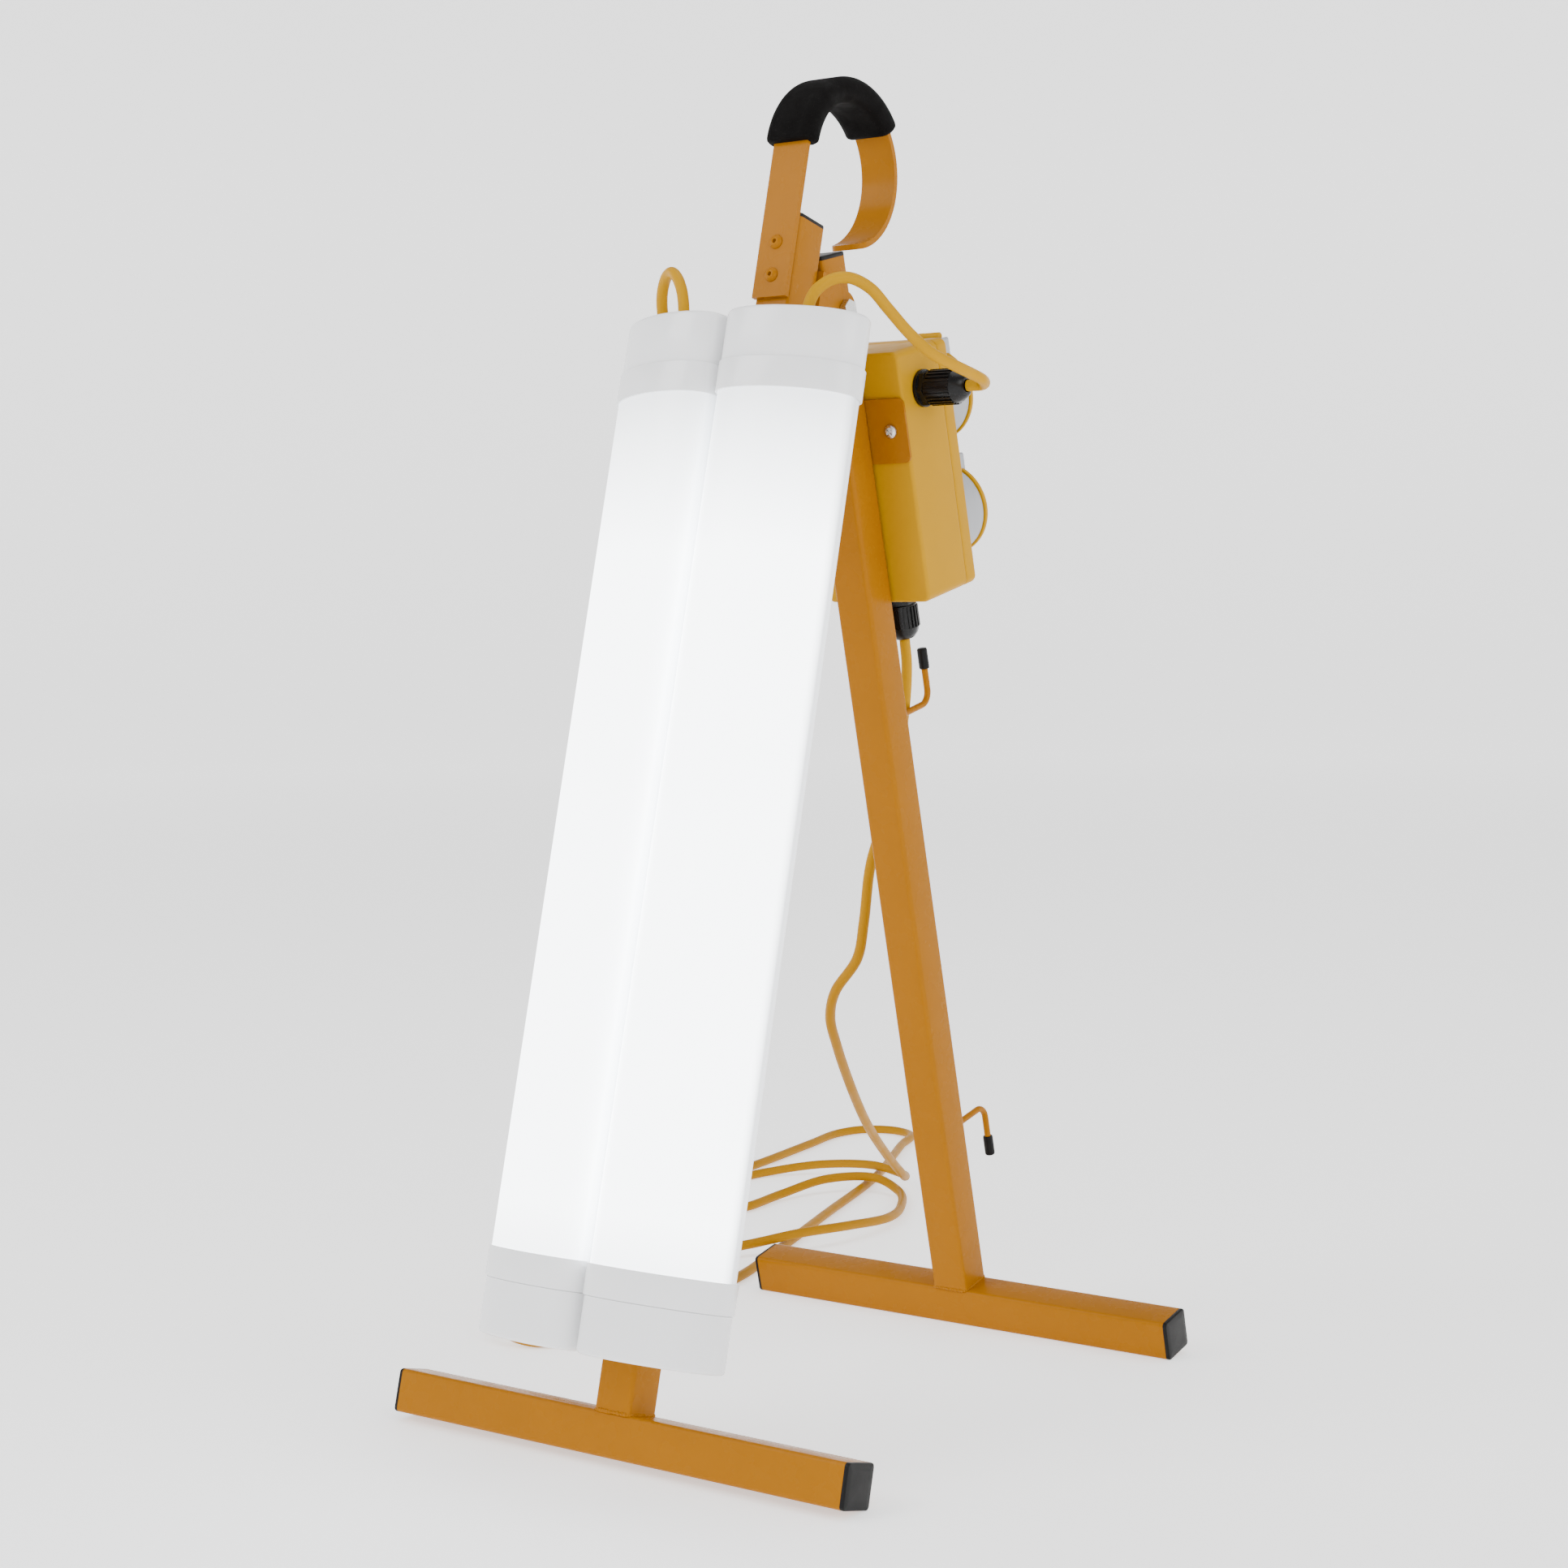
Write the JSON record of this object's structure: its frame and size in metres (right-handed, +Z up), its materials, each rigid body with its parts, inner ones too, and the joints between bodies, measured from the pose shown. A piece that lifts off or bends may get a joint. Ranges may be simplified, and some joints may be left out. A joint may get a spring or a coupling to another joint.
{
  "type": "work light",
  "caption": "Folding A-frame site work light with twin upright diffused lamps, hanging hook, rear socket box, lead hooks and a coiled mains lead.",
  "frame": {"origin": "on the floor, under the middle of the open stand with its lamps, box and hooks", "axes": "+Z up, -Y towards the side that the lamps face, +X to the right seen from the front"},
  "size_m": [0.6869, 1.0519, 0.9396],
  "materials": {
    "amber_paint": "glossy amber powder coat",
    "yellow_plastic": "satin warm yellow moulding with a fine spark texture",
    "yellow_plug": "satin yellow plug moulding",
    "yellow_lead": "smooth yellow rubber sheath",
    "white_cap": "smooth white moulding",
    "opal_diffuser": "opal diffuser, lit",
    "light_carrier": "extruded aluminium with light strips",
    "black_plastic": "satin black moulding",
    "gland_nylon": "satin black nylon",
    "foam_grip": "fine closed-cell foam",
    "grey_plastic": "satin light grey moulding",
    "zinc_steel": "bright zinc plate"
  },
  "bodies": {
    "rear_frame": {"rear_leg": "amber_paint", "rear_foot": "amber_paint", "rear_foot_cap_left": "black_plastic", "rear_foot_cap_right": "black_plastic", "rear_leg_cap": "black_plastic", "box_plate": "amber_paint", "plate_screw_left": "zinc_steel", "plate_screw_right": "zinc_steel", "box_body": "yellow_plastic", "box_lid": "yellow_plastic", "lid_screw_1": "zinc_steel", "lid_screw_2": "zinc_steel", "lid_screw_3": "zinc_steel", "lid_screw_4": "zinc_steel", "terminal_block": "white_cap", "gland_right_body": "gland_nylon", "gland_right_nut": "gland_nylon", "gland_left_body": "gland_nylon", "gland_left_nut": "gland_nylon", "gland_bottom_body": "gland_nylon", "gland_bottom_nut": "gland_nylon", "socket_lower_housing": "grey_plastic", "socket_lower_insert": "black_plastic", "socket_upper_housing": "grey_plastic", "socket_upper_insert": "black_plastic", "lead_hook_upper": "amber_paint", "lead_hook_upper_tip": "black_plastic", "lead_hook_lower": "amber_paint", "lead_hook_lower_tip": "black_plastic", "lamp_lead_right": "yellow_lead", "lamp_lead_left": "yellow_lead", "mains_lead": "yellow_lead", "mains_coil": "yellow_lead", "lead_tail": "yellow_lead", "plug_body": "yellow_plug", "plug_nose": "yellow_plug"},
    "front_frame": {"front_leg": "amber_paint", "front_foot": "amber_paint", "front_foot_cap_left": "black_plastic", "front_foot_cap_right": "black_plastic", "front_leg_cap": "black_plastic", "hook_strap": "amber_paint", "hook_grip": "foam_grip", "hook_rivet_lower": "amber_paint", "hook_rivet_upper": "amber_paint", "hinge_bracket": "amber_paint", "hinge_bolt": "zinc_steel", "hinge_nut": "zinc_steel", "lamp_bracket_lower": "zinc_steel", "lamp_bracket_upper": "zinc_steel", "lamp_left_upper_cap": "white_cap", "lamp_left_lower_cap": "white_cap", "lamp_left_diffuser": "opal_diffuser", "lamp_left_carrier": "light_carrier", "lamp_right_upper_cap": "white_cap", "lamp_right_lower_cap": "white_cap", "lamp_right_diffuser": "opal_diffuser", "lamp_right_carrier": "light_carrier"},
    "lower_lid": {"socket_lower_lid": "yellow_plastic"},
    "upper_lid": {"socket_upper_lid": "yellow_plastic"}
  },
  "joints": [
    {"name": "leg_fold", "type": "hinge", "parent": "rear_frame", "child": "front_frame", "pos_m": [0, 0.04682, 0.77446], "axis": [1, 0, 0], "range_deg": [0, 27], "deforming": ["lamp_lead_left", "lamp_lead_right"]},
    {"name": "lower_lid_hinge", "type": "hinge", "parent": "rear_frame", "child": "lower_lid", "pos_m": [0, 0.19855, 0.67741], "axis": [1, 0, 0], "range_deg": [0, 105], "stiffness_Nm_per_rad": 0.02, "springref_deg": -34.38},
    {"name": "upper_lid_hinge", "type": "hinge", "parent": "rear_frame", "child": "upper_lid", "pos_m": [0, 0.17935, 0.76329], "axis": [1, 0, 0], "range_deg": [0, 105], "stiffness_Nm_per_rad": 0.02, "springref_deg": -34.38}
  ]
}
